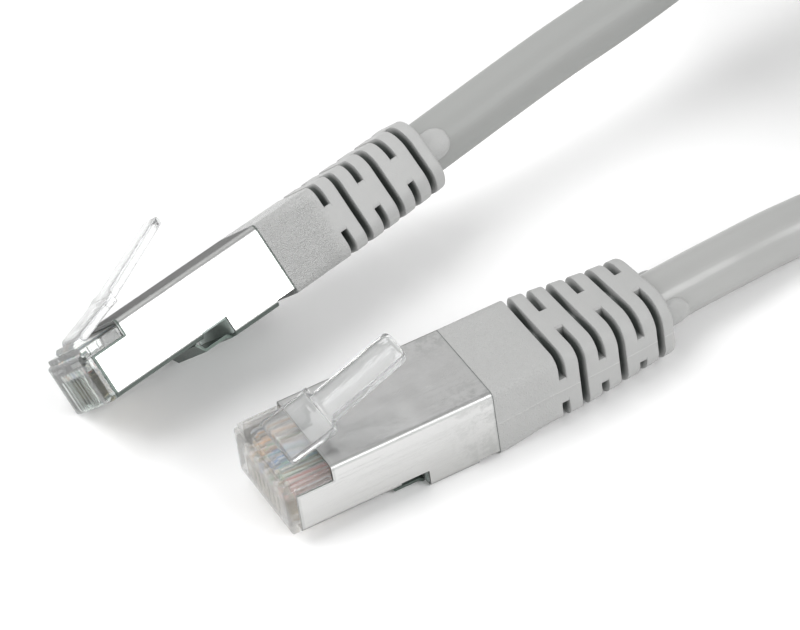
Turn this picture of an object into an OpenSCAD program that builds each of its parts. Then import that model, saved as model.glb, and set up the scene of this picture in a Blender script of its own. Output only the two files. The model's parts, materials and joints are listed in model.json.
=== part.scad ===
// Shielded ethernet patch lead: two 8-pin modular plugs with metal shields,
// sprung latch levers and ribbed strain-relief boots on one round screened cable.
// Millimetres. +X runs from the noses towards the cable, +Z is up, and the lead lies on z = 0.
//
// Each plug is drawn in its own frame: x from the nose's face towards the cable, y across,
// z from the shield's underside.

/* [Clear body] */
// Width of the clear body behind its front lip
body_w = 11; // [10.7:0.1:11.4]
// Length of the clear body, nose to rear face
body_l = 20.2; // [19.4:0.2:20.8]
// Length of the front lip
lip_l = 1.05; // [0.85:0.05:1.25]
// How far the lip stands out past the body on each side
lip_out = 0.25; // [0.15:0.05:0.35]
// Height of the front lip
lip_h = 5.65; // [5.4:0.05:5.8]
// Radius of the lip's long edges
lip_edge = 0.5; // [0.3:0.05:0.7]
// Length of the chamber that holds the wire guide
guide_room_l = 5.6; // [5.4:0.1:6]

/* [Shield] */
// Thickness of the shield's sheet
sheet_t = 0.3; // [0.2:0.05:0.3]
// Height of the shield over its rear half
shield_h = 8.1; // [7.9:0.1:8.4]
// Distance from the nose to the shield's rear edge
shield_end = 22.6; // [22.2:0.1:23]
// Distance from the nose to the step in the underside
step_x = 14.85; // [14.4:0.05:15.2]
// How far the underside rises in front of the step
front_rise = 1.6; // [1.3:0.1:1.8]
// Distance from the nose to the front edge of the top face
top_edge_x = 5.05; // [4.8:0.05:5.6]
// Depth of the open front notch below the top face
notch_h = 1.75; // [1.5:0.05:2]
// Width of the flanges that fold under the front half
flange_w = 1.15; // [0.8:0.05:1.4]
// Length of the relief cut in front of the step
relief_l = 2.95; // [2.4:0.05:3.4]
// Length of the rear edge that has no flange
bare_rear = 2.3; // [1.8:0.1:2.6]
// Length of the crimp band round the jacket
crimp_l = 4; // [3:0.2:4]
// Width of the open seam along the crimp band
crimp_seam = 1.4; // [1:0.1:2]

/* [Contacts and wires] */
// Distance between neighbouring contacts
contact_spacing = 1.02; // [1:0.01:1.04]
// Thickness of a contact blade
blade_t = 0.32; // [0.25:0.01:0.35]
// Length of a contact blade
blade_l = 5.4; // [4.8:0.1:6]
// Diameter of an insulated wire
wire_d = 0.85; // [0.75:0.01:0.88]
// Height of the wires above the shield's underside
wire_z = 5.45; // [5.3:0.05:5.6]
// Diameter of the bare drain wire
drain_d = 0.4; // [0.3:0.02:0.4]

/* [Latch] */
// Distance from the nose to the latch's hinge line
hinge_x = 2.55; // [2.4:0.05:2.8]
// Height of the hinge line above the shield's top face
hinge_up = 0.25; // [0.25:0.05:0.4]
// Radius of the hinge knuckle
knuckle_r = 0.5; // [0.4:0.02:0.5]
// Width of the latch's root and shoulders
latch_w = 6.3; // [6:0.1:6.5]
// Distance from the hinge line to the shoulders' rear faces
shoulder_l = 5.7; // [5.4:0.1:6]
// Width of the lever behind the shoulders
lever_w = 4.3; // [4:0.1:4.6]
// Width of the lever at its tip
tip_w = 3.8; // [3.4:0.1:4]
// Distance from the hinge line to the lever's tip
latch_l = 13.9; // [12.8:0.1:14.4]
// Angle at which the relaxed lever stands up
latch_lift = 19; // [17:0.5:22]

/* [Boot] */
// Length of the strain-relief boot
boot_l = 20.5; // [20:0.5:22]
// Width of the boot at its collar
collar_w = 10.4; // [9.8:0.1:11]
// Distance from the boot's front face to its first slot
slot_start = 7.1; // [6.8:0.1:7.5]
// Number of slots along the boot
slot_count = 6; // [4:1:6]
// Distance between neighbouring slots
slot_pitch = 2.3; // [2.1:0.05:2.3]
// Width of a slot
slot_w = 1; // [0.7:0.05:1.1]
// Width of the bridge that a side slot leaves along the top and bottom
top_bridge = 3; // [2.4:0.1:3.6]
// Height of the bridge that a top slot leaves along each side
side_bridge = 2.6; // [2:0.1:3]
// Thickness of the sleeve left round the cable
sleeve_t = 0.35; // [0.3:0.05:0.5]
// Length of the tongues that lie on the jacket
tongue_l = 2; // [1.6:0.1:2.4]

/* [Cable] */
// Outer diameter of the jacket
cable_d = 5.8; // [5.6:0.05:5.8]
// Thickness of the screen foil folded back over the jacket
foil_t = 0.06; // [0.04:0.01:0.08]
// Distance from the nose to the cut end of the jacket
jacket_x = 17.4; // [17:0.1:17.8]

/* [Clearances] */
// Gap between the clear body and the shield
body_gap = 0.05; // [0.03:0.01:0.08]
// Gap on each side of a contact blade in its slot
blade_gap = 0.09; // [0.05:0.01:0.1]
// Gap round a wire in its channel
wire_gap = 0.03; // [0.02:0.005:0.04]
// Gap between the latch's knuckle and its saddle
saddle_gap = 0.05; // [0.04:0.01:0.08]
// Gap between the jacket, the foil and the crimp band
wrap_gap = 0.02; // [0.01:0.005:0.03]
// Gap between the jacket and the boot
boot_gap = 0.05; // [0.04:0.01:0.08]

/* [Hidden] */
$fn = 48;
pins = 8;

// Shield
shield_w = body_w + 2 * (body_gap + sheet_t);
bend_r = 2 * sheet_t;
relief_h = 0.6;
flange_end = step_x - relief_l;
shield_front = lip_l + body_gap;
rear_floor_end = shield_end - bare_rear;

// Clear body
body_edge = bend_r - sheet_t;
body_top = shield_h - sheet_t - body_gap;
body_low = front_rise + sheet_t + body_gap;
rear_low = sheet_t + body_gap;
rear_x = step_x + body_gap;
lip_w = body_w + 2 * lip_out;
front_round = 0.6;

// Centre line of the cable inside the plug
mid_z = shield_h / 2;
cable_r = cable_d / 2;
foil_in = cable_r + wrap_gap;
foil_out = foil_in + foil_t;
crimp_in = foil_out + wrap_gap;
crimp_out = crimp_in + sheet_t;
crimp_x = shield_end + 1.4;
crimp_end = crimp_x + crimp_l;

// Contacts, wires and the chambers that hold them
blade_x = 0.8;
blade_sink = 0.6;
blade_top = wire_z - wire_d / 2 - 0.275;
tooth_top = wire_z - 0.12;
tooth_l = 0.9;
slot_top = wire_z - wire_d / 4;
slot_end = blade_x + blade_l + 1;
wire_start = 1.35;
guide_x = slot_end + 0.8;
room_gap = 0.05;
guide_l = guide_room_l - 0.6;
guide_h = 1.4;
guide_top = wire_z - 0.15;
guide_low = guide_top - guide_h;
room_half = contact_spacing * (pins - 1) / 2 + wire_d / 2 + 0.5;
room_top = wire_z + wire_d / 2 + 1;
fan_x = guide_x + guide_room_l;
fan_end = jacket_x - 0.1;
fan_low = mid_z - 1.45;
core_spacing = 0.5;
core_rise = 0.6;
wire_sides = 8;
fan_steps = 6;

// Latch
hinge_z = shield_h + hinge_up;
boss_half = latch_w / 2;
root_t = 0.95;
lever_t = 1;
tip_t = 0.65;
shoulder_t = 1.2;
tip_round = 0.8;

// Boot
boot_end = shield_end + boot_l;
first_slot = shield_end + slot_start;
flex_x = first_slot - slot_w / 2;
bore_r = cable_r + boot_gap;
sleeve_r = bore_r + sleeve_t;
pocket_r = crimp_out + 0.15;
pocket_end = crimp_end + 0.1;
corner_steps = 6;
block_r = 2.4;
collar_r = 3.8;
tongue_w = 3;
tongue_t = 0.4;
bore_sides = 24;

// How each plug lies: where its frame's origin is, how it is turned, and how its boot is flexed
// (angle, and the direction of the bend seen from the nose, 0 towards +y and 90 towards +z)
flex_a = [2, 90];
flex_b = [5.5, 0];
lean_a = [-42.4, -4.4, 10.2];
lean_b = [0, 0, 0];
at_a = [-26.24, 4.62, resting_height(lean_a)];
at_b = [-17.56, -13.96, 0];

// The cable between the boots and the coil: points that its centre line passes through
route_a = [[32.7, 18.1, 11.2], [43.1, 19.5, 12.5], [53.6, 20.8, 14.6], [64.1, 21.9, 18], [74.4, 22.5, 21]];
route_b = [[34, -12.3, 3.8], [44.2, -10.9, 2.9], [52.4, -11.9, 2.9], [59.9, -15.3, 2.9]];
run_sides = 12;

// The coil: turns stacked on one another, each climbing onto the one below in its last third
coil_centre = [92.4, -6.3];
coil_r = 29.4;
coil_rise = cable_d + 0.6;
coil_from = -140;
coil_turn = 1315;
coil_ramp = 120;
coil_rings = 24;
coil_sides = 6;

// ---------- vectors ----------

function unit(v) = v / norm(v);

function sum(values) = values * [for (v = values) 1];

// v turned by angle about a unit axis
function spin(v, axis, angle) =
    v * cos(angle) + cross(axis, v) * sin(angle) + axis * (axis * v) * (1 - cos(angle));

// v turned as rotate(a) turns it
function turn(a, v) =
    spin(spin(spin(v, [1, 0, 0], a[0]), [0, 1, 0], a[1]), [0, 0, 1], a[2]);

// Height at which a leaning plug's frame stands so that its lowest edge touches z = 0:
// the lip's lower corner or the shield's corner at the step, whichever is lower
function resting_height(lean) =
    max(lip_edge - turn(lean, [0, lip_w / 2 - lip_edge, front_rise + lip_edge])[2],
        bend_r - turn(lean, [step_x, shield_w / 2 - bend_r, bend_r])[2]);

// ---------- swept tubes ----------

// n points of radius r round c, square to the direction t, the first one lowest
function ring(c, t, r, n) =
    let (side = unit(cross(t, [0, 0, 1])), up = cross(side, t))
    [for (k = [0:n - 1]) let (a = 360 * k / n - 90) c + r * (cos(a) * side + sin(a) * up)];

// Directions along a path, with the given ones at its ends
function headings(path, first, last) =
    let (n = len(path))
    [for (i = [0:n - 1]) i == 0 ? first : i == n - 1 ? last : unit(path[i + 1] - path[i - 1])];

// A closed skin of triangles over rings of equally many points
module skin(rings) {
    n = len(rings[0]);
    last = (len(rings) - 1) * n;
    sides = [for (i = [0:len(rings) - 2], k = [0:n - 1])
        let (a = i * n + k, b = i * n + (k + 1) % n) each [[a, b, b + n], [a, b + n, a + n]]];
    caps = [for (k = [1:n - 2]) each [[0, k + 1, k], [last, last + k, last + k + 1]]];
    polyhedron(points = [for (r = rings) each r], faces = concat(sides, caps), convexity = 8);
}

module tube(path, r, n, first, last) {
    ways = headings(path, first, last);
    skin([for (i = [0:len(path) - 1]) ring(path[i], ways[i], r, n)]);
}

// ---------- the boot's flexed centre line ----------

// Angle through which the centre line has turned at distance s from the nose
function flex_turn(s, flex) = flex[0] * min(max((s - flex_x) / (boot_end - flex_x), 0), 1);

function flex_side(flex) = [0, cos(flex[1]), sin(flex[1])];

function flex_axis(flex) = cross([1, 0, 0], flex_side(flex));

// Point of the centre line: straight to the first slot, then an arc, then straight again
function flex_at(s, flex) =
    let (radius = (boot_end - flex_x) / (flex[0] * PI / 180), a = flex_turn(s, flex),
         rest = max(s - boot_end, 0))
    [min(s, flex_x), 0, mid_z] + [radius * sin(a), 0, 0] + radius * (1 - cos(a)) * flex_side(flex)
    + rest * flex_way(s, flex);

function flex_way(s, flex) = spin([1, 0, 0], flex_axis(flex), flex_turn(s, flex));

module on_boot(s, flex)
    translate(flex_at(s, flex)) rotate(a = flex_turn(s, flex), v = flex_axis(flex)) children();

// ---------- flat shapes and prisms ----------

module round_rect(x0, x1, y0, y1, r) {
    translate([x0 + r, y0]) square([x1 - x0 - 2 * r, y1 - y0]);
    translate([x0, y0 + r]) square([x1 - x0, y1 - y0 - 2 * r]);
    for (x = [x0 + r, x1 - r], y = [y0 + r, y1 - r]) translate([x, y]) circle(r);
}

// A shape drawn in (y, z), from x0 to x1
module along_x(x0, x1) translate([x0, 0, 0]) rotate([90, 0, 90]) linear_extrude(x1 - x0) children();

// A shape drawn in (x, z), w wide and centred on y = 0
module across(w) rotate([90, 0, 0]) linear_extrude(w, center = true) children();

// A cylinder along x
module rod(x0, x1, y, z, r) translate([x0, y, z]) rotate([0, 90, 0]) cylinder(r = r, h = x1 - x0);

module block(x0, x1, half, z0, z1) translate([x0, -half, z0]) cube([x1 - x0, 2 * half, z1 - z0]);

function pin_y(n) = ((pins + 1) / 2 - n) * contact_spacing;

// ---------- pieces of one plug ----------

module plug_body() color([0.86, 0.88, 0.88, 0.45]) difference() {
    union() {
        lip();
        along_x(lip_l / 2, body_l) round_rect(-body_w / 2, body_w / 2, body_low, body_top, body_edge);
        along_x(rear_x, body_l) round_rect(-body_w / 2, body_w / 2, rear_low, body_top, body_edge);
        side_bosses();
        across(2 * boss_half) polygon([[boss_x, body_top - 1], [boss_x, hinge_z - 0.3],
            [boss_x + 0.3, hinge_z], [hinge_x, hinge_z], [hinge_x, body_top - 1]]);
    }
    saddle_half = boss_half + 0.1;
    translate([hinge_x, 0, hinge_z]) rotate([90, 0, 0])
        cylinder(r = knuckle_r + saddle_gap, h = 2 * saddle_half, center = true);
    for (n = [1:pins]) {
        translate([0, pin_y(n), 0]) block(-1, slot_end, blade_t / 2 + blade_gap, 0, slot_top);
        rod(wire_start - 0.15, guide_x + 0.1, pin_y(n), wire_z, wire_d / 2 + wire_gap);
    }
    block(guide_x, fan_x + 0.1, room_half, guide_low - room_gap, room_top);
    block(fan_x, fan_end, room_half, fan_low, room_top);
    rod(fan_end - 0.1, body_l + 1, 0, mid_z, crimp_in);
}

boss_x = 0.95;

// The lip at the nose: rounded along its long edges and round its front
module lip() intersection() {
    along_x(0, lip_l) round_rect(-lip_w / 2, lip_w / 2, front_rise, front_rise + lip_h, lip_edge);
    across(lip_w + 1) round_rect(0, lip_l + 2, front_rise, front_rise + lip_h, front_round);
    linear_extrude(shield_h) round_rect(0, lip_l + 2, -lip_w / 2, lip_w / 2, front_round);
}

// Raised frames in the shield's front notches, each with two windows
boss_end = top_edge_x - 0.15;
boss_low = shield_h - notch_h + 0.15;
boss_high = boss_low + 0.9;
window_depth = 0.15;

module side_bosses() difference() {
    block(lip_l + 0.25, boss_end, body_w / 2 + lip_out, boss_low, boss_high);
    for (side = [-1, 1], window = [[1.6, 2.35], [2.6, boss_end - 0.25]])
        translate([window[0], side * (body_w / 2 + lip_out) - window_depth, boss_low + 0.2])
            cube([window[1] - window[0], 2 * window_depth, boss_high - boss_low - 0.4]);
}

module shield() color([0.72, 0.73, 0.73]) {
    difference() {
        union() {
            folded(shield_front, step_x, front_rise);
            folded(step_x, shield_end, 0);
        }
        block(0, top_edge_x, shield_w, shield_h - notch_h, shield_h + 1);
        block(0, step_x, shield_w / 2 - flange_w, -1, body_low);
        block(flange_end, step_x + 0.1, shield_w, -1, front_rise + relief_h);
        block(rear_floor_end, shield_end + 1, shield_w, -1, bend_r);
        block(step_x - 1, shield_end, 0.05, -1, sheet_t / 2);
    }
    tongue_sheet();
    neck_sheet();
    difference() {
        rod(crimp_x, crimp_end, 0, mid_z, crimp_out);
        rod(crimp_x - 1, crimp_end + 1, 0, mid_z, crimp_in);
        block(crimp_x - 1, crimp_end + 1, crimp_seam / 2, mid_z, shield_h);
    }
}

// The sheet folded round the body, with its underside at z = low
module folded(x0, x1, low) along_x(x0, x1) difference() {
    round_rect(-shield_w / 2, shield_w / 2, low, shield_h, bend_r);
    inner_half = shield_w / 2 - sheet_t;
    round_rect(-inner_half, inner_half, low + sheet_t, shield_h - sheet_t, bend_r - sheet_t);
}

// Tongue that runs forwards under the relief cut, its front end bent up
tongue_half = shield_w / 2 - 1.25;
tongue_rise = 0.3;
tongue_lip = 1.1;

module tongue_sheet() across(2 * tongue_half) {
    front = flange_end - 0.3;
    polygon([[step_x + 0.5, 0], [step_x - 0.25, 0], [step_x - 0.65, tongue_rise], [front, tongue_rise],
        [front - 0.65, tongue_rise + tongue_lip], [front - 0.4, tongue_rise + tongue_lip + 0.15],
        [front + 0.15, tongue_rise + sheet_t], [step_x - 0.5, tongue_rise + sheet_t],
        [step_x - 0.1, sheet_t], [step_x + 0.5, sheet_t]]);
}

// Neck that carries the crimp band
neck_half = 2.2;
neck_z = mid_z - crimp_out;

module neck_sheet() across(2 * neck_half) polygon([[rear_floor_end - 0.2, 0], [rear_floor_end + 0.1, 0],
    [shield_end - 1, neck_z], [crimp_x + 0.2, neck_z], [crimp_x + 0.2, neck_z + sheet_t],
    [shield_end - 1.1, neck_z + sheet_t], [rear_floor_end, sheet_t], [rear_floor_end - 0.2, sheet_t]]);

module wire_guide() color([0.9, 0.9, 0.86]) difference() {
    block(guide_x + room_gap, guide_x + guide_l, room_half - room_gap, guide_low, guide_top);
    for (n = [1:pins]) rod(guide_x - 1, guide_x + guide_l + 1, pin_y(n), wire_z, wire_d / 2 + wire_gap);
}

// A blade with a rounded contact corner and two teeth that pierce the wire's insulation
module contact(n) color([0.83, 0.68, 0.3]) translate([0, pin_y(n), 0]) across(blade_t) {
    low = front_rise + blade_sink;
    corner = 0.9;
    blade_end = blade_x + blade_l;
    teeth = [for (x = [blade_end - blade_l / 5, blade_end - blade_l * 3 / 5])
        each [[x, blade_top], [x, blade_top + 0.2], [x - 0.35, tooth_top], [x - 0.55, tooth_top],
            [x - tooth_l, blade_top + 0.2], [x - tooth_l, blade_top]]];
    polygon(concat([for (a = [180:15:270]) [blade_x, low] + corner * [1 + cos(a), 1 + sin(a)]],
        [[blade_end, low], [blade_end, blade_top]], teeth, [[blade_x, blade_top]]));
}

wire_colors = [[0.9, 0.75, 0.6], [0.85, 0.5, 0.2], [0.7, 0.85, 0.72], [0.25, 0.4, 0.75],
    [0.7, 0.78, 0.9], [0.2, 0.55, 0.35], [0.82, 0.72, 0.65], [0.5, 0.25, 0.18]];

// A wire: straight over the contacts and the guide, then drawn together to the jacket's end
function ease(t) = t * t * (3 - 2 * t);

function wire_path(n) =
    let (y0 = pin_y(n), y1 = y0 / contact_spacing * core_spacing, z1 = mid_z + (n % 2 == 0 ? core_rise : -core_rise),
         x0 = guide_x + guide_l, x1 = jacket_x - 0.2)
    concat([[wire_start, y0, wire_z]],
        [for (k = [0:fan_steps]) let (t = k / fan_steps, e = ease(t))
            [x0 + (x1 - x0) * t, y0 + (y1 - y0) * e, wire_z + (z1 - wire_z) * ease(min(1.5 * t, 1))]],
        [[jacket_x, y1, z1]]);

module wire(n) color(wire_colors[n - 1]) tube(wire_path(n), wire_d / 2, wire_sides, [1, 0, 0], [1, 0, 0]);

module screen_foil() color([0.8, 0.8, 0.8]) difference() {
    rod(jacket_x + 0.6, crimp_end, 0, mid_z, foil_out);
    rod(jacket_x, crimp_end + 1, 0, mid_z, foil_in);
}

module drain_wire() color([0.75, 0.7, 0.6])
    rod(shield_end + 0.4, crimp_end - 0.1, 0, mid_z + foil_out + wrap_gap + drain_d / 2, drain_d / 2);

// The lever: a side view crossed with a plan view, hung on its knuckle
module latch() color([0.88, 0.9, 0.9, 0.5]) {
    translate([hinge_x, 0, hinge_z]) {
        rotate([90, 0, 0]) cylinder(r = knuckle_r, h = latch_w, center = true);
        intersection() {
            across(latch_w + 2) latch_side();
            translate([0, 0, -2]) linear_extrude(latch_l) latch_plan();
        }
    }
}

// Heights are measured from the hinge line
function lever_line(x) = shoulder_top + (x - shoulder_l) * tan(latch_lift);

shoulder_top = 2.15;

module latch_side() {
    kink = shoulder_l - 2;
    tip = latch_l - tip_t / 2;
    polygon([[-0.25, knuckle_r * 0.8], [0, 0], [0.32, -0.38], [kink, shoulder_top - 0.4 - root_t],
        [shoulder_l, shoulder_top - shoulder_t], [shoulder_l, lever_line(shoulder_l) - lever_t],
        [tip, lever_line(tip) - tip_t], [tip, lever_line(tip)],
        [shoulder_l, shoulder_top], [kink, shoulder_top - 0.4]]);
    translate([tip, lever_line(tip) - tip_t / 2]) circle(tip_t / 2);
}

module latch_plan() {
    translate([-1, -latch_w / 2]) square([1 + shoulder_l, latch_w]);
    back = latch_l - tip_round;
    polygon([[shoulder_l - 1, -lever_w / 2], [back, -tip_w / 2], [back, tip_w / 2],
        [shoulder_l - 1, lever_w / 2]]);
    translate([back - 0.1, tip_round - tip_w / 2]) square([tip_round + 0.1, tip_w - 2 * tip_round]);
    for (side = [-1, 1]) translate([back, side * (tip_w / 2 - tip_round)]) circle(tip_round);
}

// Half width, half height and corner radius of the boot's section at distance s from the nose
function boot_section(s) =
    let (t = min(max((s - first_slot) / (boot_end - first_slot), 0), 1),
         front = min((s - shield_end) / slot_start, 1),
         inset = s > boot_end - 0.1 ? 0.5 : s > boot_end - 0.4 ? 0.18 : 0)
    [(shield_w * (1 - t) + collar_w * t) / 2 - inset, mid_z - inset,
        bend_r + (block_r - bend_r) * ease(front) + (collar_r - block_r) * ease(t) - inset / 2];

// Points of a rounded rectangle round the flexed centre line
function boot_ring(s, flex) =
    let (size = boot_section(s), r = size[2], axis = flex_axis(flex), angle = flex_turn(s, flex))
    [for (k = [0:3], j = [0:corner_steps])
        let (a = 90 * k + 90 * j / corner_steps,
             y = (k == 0 || k == 3 ? 1 : -1) * (size[0] - r) + r * cos(a),
             z = (k < 2 ? 1 : -1) * (size[1] - r) + r * sin(a))
        flex_at(s, flex) + spin([0, -y, z], axis, angle)];

function boot_stations() = [shield_end, shield_end + slot_start / 3, shield_end + slot_start * 2 / 3, flex_x,
    flex_x + 2 * slot_pitch, boot_end - 2 * slot_pitch, boot_end - 0.8, boot_end - 0.35, boot_end];

module boot(flex) color([0.73, 0.74, 0.73]) difference() {
    union() {
        skin([for (s = boot_stations()) boot_ring(s, flex)]);
        on_boot(boot_end, flex) jacket_tongues();
    }
    for (i = [0:slot_count - 1]) on_boot(first_slot + i * slot_pitch, flex) slot_cut(i % 2 == 0);
    bore_stations = [pocket_end - 0.1, flex_x, (flex_x + boot_end) / 2, boot_end, boot_end + tongue_l + 1];
    tube([for (s = bore_stations) flex_at(s, flex)], bore_r, bore_sides, [1, 0, 0], flex_way(boot_end, flex));
    rod(shield_end - 1, pocket_end, 0, mid_z, pocket_r);
    block(shield_end - 1, crimp_x + 0.4, neck_half + 0.2, neck_z - 0.1, mid_z);
}

// A slot through the boot down to the sleeve. Top slots leave a bridge on each side,
// side slots leave one along the top and one along the bottom.
module slot_cut(top) difference() {
    for (side = [-1, 1]) if (top)
        translate([-slot_w / 2, -shield_w, side > 0 ? side_bridge / 2 : -side_bridge / 2 - shield_h])
            cube([slot_w, 2 * shield_w, shield_h]);
    else
        translate([-slot_w / 2, side > 0 ? top_bridge / 2 : -top_bridge / 2 - shield_w, -shield_h])
            cube([slot_w, shield_w, 2 * shield_h]);
    rod(-slot_w, slot_w, 0, 0, sleeve_r);
}

// Two rounded tongues at mid height that lie on the jacket behind the collar
module jacket_tongues() intersection() {
    rod(-0.6, tongue_l, 0, 0, bore_r + tongue_t);
    across(4 * cable_d) {
        translate([-1, -tongue_w / 2]) square([tongue_l + 1 - tongue_w / 2, tongue_w]);
        translate([tongue_l - tongue_w / 2, 0]) circle(tongue_w / 2);
    }
}

// ---------- the cable ----------

// Centre line in the row's frame, from the jacket's end in the plug to behind the boot's tongues
function plug_lead(at, lean, flex) =
    [for (s = [jacket_x, flex_x, (flex_x + boot_end) / 2, boot_end, boot_end + tongue_l + 0.2])
        at + turn(lean, flex_at(s, flex))];

// How many turns the coil has climbed at an angle from its start
function climb(angle) =
    sum([for (j = [1:floor(coil_turn / 360)]) ease(min(max((angle - 360 * j) / coil_ramp + 1, 0), 1))]);

// Point of the coil at q, which runs from 0 to 1
function coil_at(q) =
    let (a = coil_from + q * coil_turn)
    [coil_centre[0] + coil_r * cos(a), coil_centre[1] + coil_r * sin(a),
        cable_r + coil_rise * climb(q * coil_turn)];

function coil_way(q) = let (a = coil_from + q * coil_turn) [-sin(a), cos(a), 0];

function coil_path(per_turn) =
    let (n = round(per_turn * coil_turn / 360))
    concat([coil_start], [for (i = [0:n]) coil_at(i / n)], [coil_finish]);

coil_start = coil_at(0) - cable_d * coil_way(0);
coil_finish = coil_at(1) + cable_d * coil_way(1);

// Least gap between parts of a coil that lie more than a third of a turn apart
function least_gap(path, apart) =
    min([for (i = [0:len(path) - 1]) min(concat([1000],
        [for (j = [i + apart:1:len(path) - 1]) norm(path[i] - path[j])]))]) - cable_d;

function path_length(path) =
    sum([for (i = [1:len(path) - 1]) norm(path[i] - path[i - 1])]);

module cable_coil() color([0.7, 0.71, 0.7])
    tube(coil_path(coil_rings), cable_r, coil_sides, coil_way(0), coil_way(1));

path_a = concat(plug_lead(at_a, lean_a, flex_a), route_a, [coil_finish]);
path_b = concat(plug_lead(at_b, lean_b, flex_b), route_b, [coil_start]);

module cable_run_a() color([0.7, 0.71, 0.7])
    tube(path_a, cable_r, run_sides, turn(lean_a, [1, 0, 0]), -coil_way(1));

module cable_run_b() color([0.7, 0.71, 0.7])
    tube(path_b, cable_r, run_sides, turn(lean_b, [1, 0, 0]), coil_way(0));

gap_samples = 72;
echo(least_gap_in_coil = least_gap(coil_path(gap_samples), gap_samples / 3));
echo(jacket_length = path_length(path_a) + path_length(path_b) + path_length(coil_path(gap_samples)));

// ---------- the assembly ----------

module in_a() translate(at_a) rotate(lean_a) children();

module in_b() translate(at_b) rotate(lean_b) children();

in_a() plug_body();  // plug_body_a
in_a() latch();  // latch_a
in_a() shield();  // shield_a
in_a() wire_guide();  // wire_guide_a
in_a() screen_foil();  // screen_foil_a
in_a() drain_wire();  // drain_wire_a
in_a() boot(flex_a);  // boot_a

in_b() plug_body();  // plug_body_b
in_b() latch();  // latch_b
in_b() shield();  // shield_b
in_b() wire_guide();  // wire_guide_b
in_b() screen_foil();  // screen_foil_b
in_b() drain_wire();  // drain_wire_b
in_b() boot(flex_b);  // boot_b

for (n = [1:pins]) {
    in_a() contact(n);
    in_b() contact(n);
    in_a() wire(n);
    in_b() wire(n);
}

cable_run_a();
cable_run_b();
cable_coil();
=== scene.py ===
"""The surfaces and finishes of a shielded ethernet patch lead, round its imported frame.

Sizes are in millimetres and become metres where a mesh is made. Each plug is drawn in its own frame:
x from the nose towards the cable, y across, z from the shield's underside.
"""
import json

import bpy
import numpy as np
from mathutils import Matrix


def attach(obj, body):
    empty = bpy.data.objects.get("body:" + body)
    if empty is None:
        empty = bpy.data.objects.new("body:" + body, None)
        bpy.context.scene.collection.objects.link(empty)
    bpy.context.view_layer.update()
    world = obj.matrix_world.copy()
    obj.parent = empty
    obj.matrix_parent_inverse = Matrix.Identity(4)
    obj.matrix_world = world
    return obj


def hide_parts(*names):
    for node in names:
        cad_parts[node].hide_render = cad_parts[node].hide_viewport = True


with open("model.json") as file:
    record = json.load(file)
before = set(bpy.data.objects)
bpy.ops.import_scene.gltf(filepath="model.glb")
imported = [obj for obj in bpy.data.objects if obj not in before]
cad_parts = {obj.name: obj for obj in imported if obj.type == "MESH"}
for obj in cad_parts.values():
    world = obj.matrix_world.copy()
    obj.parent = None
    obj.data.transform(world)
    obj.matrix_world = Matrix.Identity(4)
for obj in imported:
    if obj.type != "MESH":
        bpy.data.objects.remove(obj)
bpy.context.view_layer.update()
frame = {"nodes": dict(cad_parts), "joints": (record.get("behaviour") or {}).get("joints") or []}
MM = 0.001

# ---------- camera ----------

CAMERA_AT = (-135.46, -345.64, 332.34)
CAMERA_RIGHT = (0.87540548, -0.4685699, -0.11877497)
CAMERA_DOWN = (-0.39221603, -0.544896, -0.74111735)
CAMERA_AHEAD = (0.28254528, 0.69536364, -0.66078557)
CAMERA_LENS = 225
SENSOR_W = 36


def make_camera():
    """A long lens whose right, up and backward directions are the columns of its matrix."""
    data = bpy.data.cameras.new("camera")
    data.lens, data.sensor_width = CAMERA_LENS, SENSOR_W
    camera = bpy.data.objects.new("camera", data)
    turn = np.array([CAMERA_RIGHT, -np.array(CAMERA_DOWN), -np.array(CAMERA_AHEAD)]).T
    place = np.eye(4)
    place[:3, :3] = turn
    place[:3, 3] = np.array(CAMERA_AT) * MM
    camera.matrix_world = Matrix(place.tolist())
    bpy.context.collection.objects.link(camera)
    bpy.context.scene.camera = camera


make_camera()

# ---------- sizes, as the frame has them ----------

PINS = 8
PITCH = 1.02

# Shield: its faces, the step in its underside, the open notch at its front and its bends' radius
SHIELD_W = 11.7
SHIELD_H = 8.1
SHIELD_FRONT = 1.1
SHIELD_END = 22.6
STEP_X = 14.85
FRONT_RISE = 1.6
TOP_EDGE_X = 5.05
NOTCH_Z = 6.35
BEND_R = 0.6
MID_Z = SHIELD_H / 2

# Middle of the latch's hinge line
HINGE = np.array([2.55, 0, 8.35])

# Cable, and where its jacket is cut inside the plug
CABLE_D = 5.8
CABLE_R = CABLE_D / 2
JACKET_X = 17.4

# Boot: its slots run from FIRST_SLOT, it bends from FLEX_X, and a sleeve is left round the cable
BOOT_L = 20.5
BOOT_END = SHIELD_END + BOOT_L
COLLAR_W = 10.4
SLOT_START = 7.1
FIRST_SLOT = SHIELD_END + SLOT_START
SLOT_COUNT = 6
SLOT_W = 1
FLEX_X = FIRST_SLOT - SLOT_W / 2
SLEEVE_R = 3.3
BOOT_GAP = 0.05
TONGUE_L = 2

# Wires, and their height over the contacts
WIRE_D = 0.85
WIRE_Z = 5.45


def unit(v):
    """v scaled to a length of 1."""
    return v / np.linalg.norm(v, axis=-1, keepdims=True)


def spin(v, axis, angle):
    """v turned about a unit axis by angle in radians, by Rodrigues' formula; angle may be an array."""
    axis = np.asarray(axis, float)
    c, s = np.cos(angle)[..., None], np.sin(angle)[..., None]
    return v * c + np.cross(axis, v) * s + axis * (v @ axis)[..., None] * (1 - c)


def turned(degrees):
    """The matrix of turns about x, then y, then z."""
    m = np.eye(3)
    for axis, angle in zip(np.eye(3), np.radians(degrees)):
        m = spin(np.eye(3), axis, np.full(3, angle)).T @ m
    return m


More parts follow.
